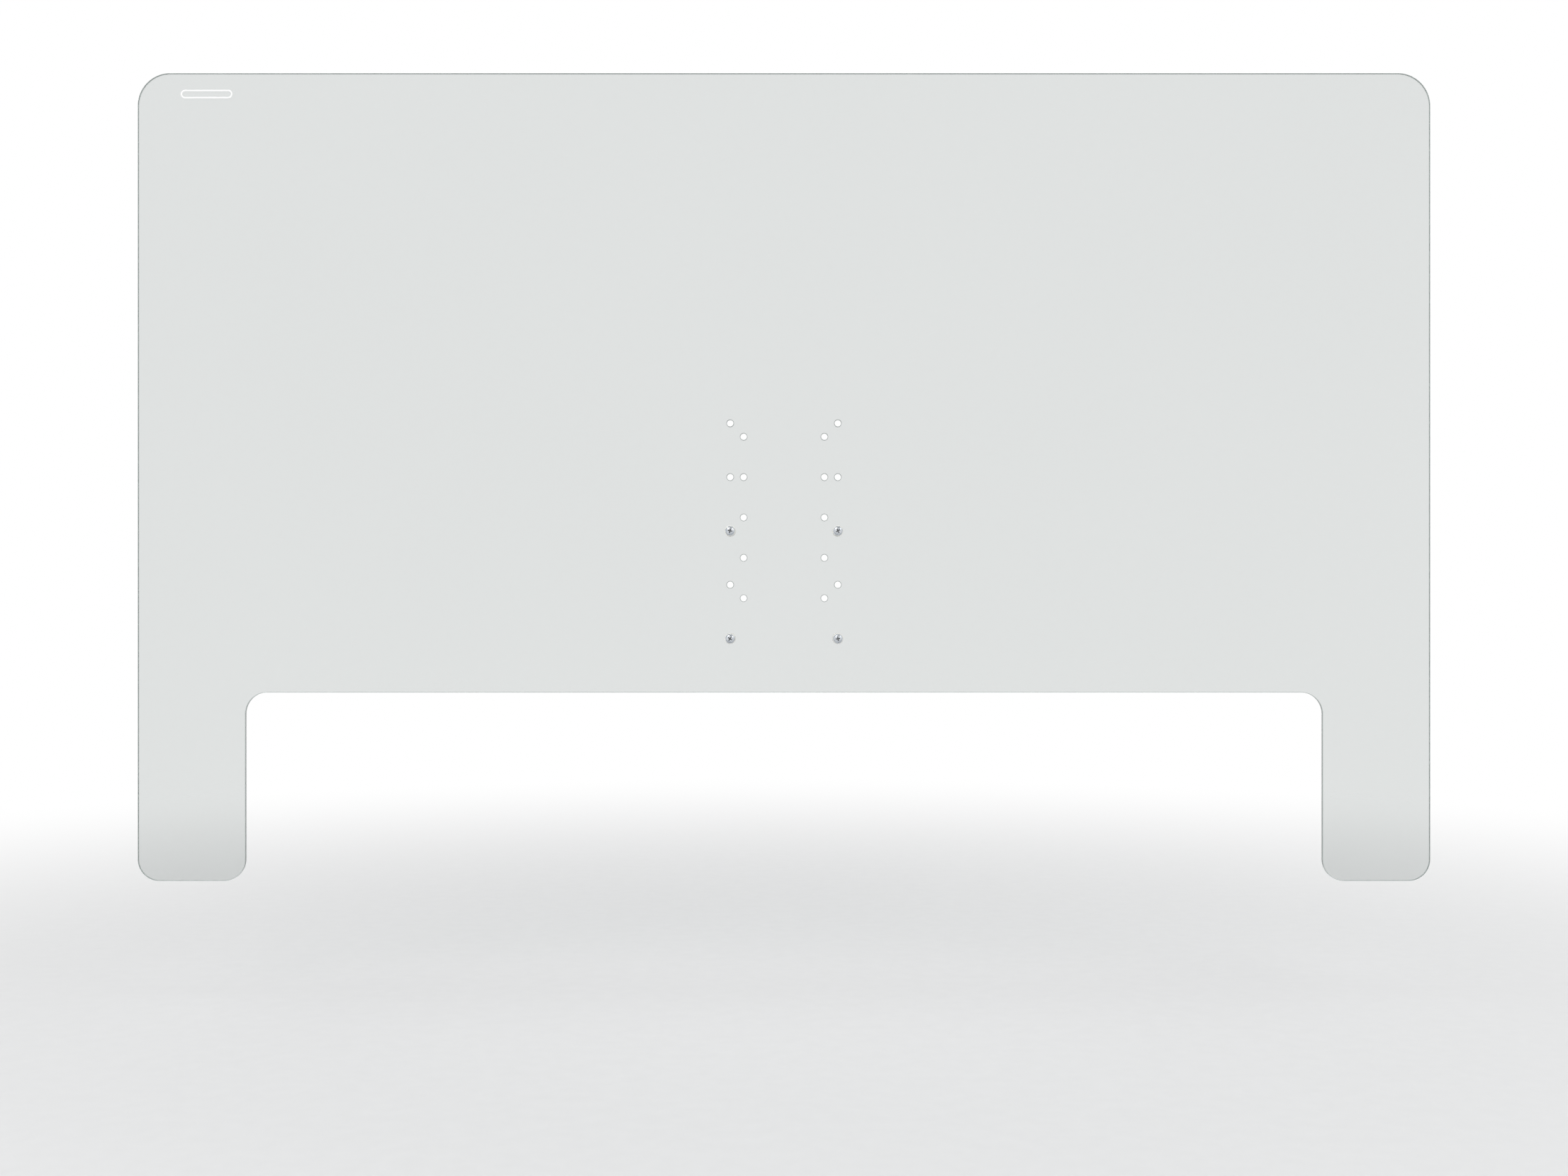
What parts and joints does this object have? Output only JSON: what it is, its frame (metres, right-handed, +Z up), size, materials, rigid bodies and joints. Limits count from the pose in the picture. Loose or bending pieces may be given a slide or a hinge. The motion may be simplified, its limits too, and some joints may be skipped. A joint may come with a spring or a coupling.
{
  "type": "desk privacy panel",
  "caption": "Clear acrylic privacy panel with two feet and a notch, clamped between a monitor and its arm by screws in a grid of height-setting holes.",
  "frame": {"origin": "centre of the four screws in use (100 x 100 mm pattern, highest setting), in the plane where the spacers' ends meet the monitor", "axes": "+X to the right and +Z up as seen from the arm side, +Y through the sheet towards the monitor and the user"},
  "size_m": [1.2, 0.0281, 0.75],
  "materials": {
    "clear_acrylic": "clear cast acrylic with polished edges",
    "white_ink": "screen-printed white ink",
    "natural_nylon": "moulded natural nylon, satin",
    "zinc_plated_steel": "bright zinc plate"
  },
  "bodies": {
    "panel": {"clear_sheet": "clear_acrylic", "corner_mark": "white_ink", "bush_upper_left": "natural_nylon", "spacer_upper_left": "natural_nylon", "bush_upper_right": "natural_nylon", "spacer_upper_right": "natural_nylon", "bush_lower_left": "natural_nylon", "spacer_lower_left": "natural_nylon", "bush_lower_right": "natural_nylon", "spacer_lower_right": "natural_nylon"},
    "washer_upper_left": {"washer_upper_left": "zinc_plated_steel"},
    "screw_upper_left": {"screw_upper_left": "zinc_plated_steel"},
    "washer_upper_right": {"washer_upper_right": "zinc_plated_steel"},
    "screw_upper_right": {"screw_upper_right": "zinc_plated_steel"},
    "washer_lower_left": {"washer_lower_left": "zinc_plated_steel"},
    "screw_lower_left": {"screw_lower_left": "zinc_plated_steel"},
    "washer_lower_right": {"washer_lower_right": "zinc_plated_steel"},
    "screw_lower_right": {"screw_lower_right": "zinc_plated_steel"}
  },
  "joints": [
    {"name": "back_out_upper_left", "type": "slide", "parent": "panel", "child": "washer_upper_left", "axis": [0, -1, 0], "range_m": [0, 0.0112]},
    {"name": "unscrew_upper_left", "type": "hinge", "parent": "washer_upper_left", "child": "screw_upper_left", "pos_m": [-0.05, 0, 0.05], "axis": [0, -1, 0], "range_deg": [0, 5760]},
    {"name": "back_out_upper_right", "type": "slide", "parent": "panel", "child": "washer_upper_right", "axis": [0, -1, 0], "range_m": [0, 0.0112]},
    {"name": "unscrew_upper_right", "type": "hinge", "parent": "washer_upper_right", "child": "screw_upper_right", "pos_m": [0.05, 0, 0.05], "axis": [0, -1, 0], "range_deg": [0, 5760]},
    {"name": "back_out_lower_left", "type": "slide", "parent": "panel", "child": "washer_lower_left", "axis": [0, -1, 0], "range_m": [0, 0.0112]},
    {"name": "unscrew_lower_left", "type": "hinge", "parent": "washer_lower_left", "child": "screw_lower_left", "pos_m": [-0.05, 0, -0.05], "axis": [0, -1, 0], "range_deg": [0, 5760]},
    {"name": "back_out_lower_right", "type": "slide", "parent": "panel", "child": "washer_lower_right", "axis": [0, -1, 0], "range_m": [0, 0.0112]},
    {"name": "unscrew_lower_right", "type": "hinge", "parent": "washer_lower_right", "child": "screw_lower_right", "pos_m": [0.05, 0, -0.05], "axis": [0, -1, 0], "range_deg": [0, 5760]}
  ],
  "couplings": [
    {"joint": "unscrew_upper_left", "follows": "back_out_upper_left", "rad_per_m": 8975.9},
    {"joint": "unscrew_upper_right", "follows": "back_out_upper_right", "rad_per_m": 8975.9},
    {"joint": "unscrew_lower_left", "follows": "back_out_lower_left", "rad_per_m": 8975.9},
    {"joint": "unscrew_lower_right", "follows": "back_out_lower_right", "rad_per_m": 8975.9}
  ]
}
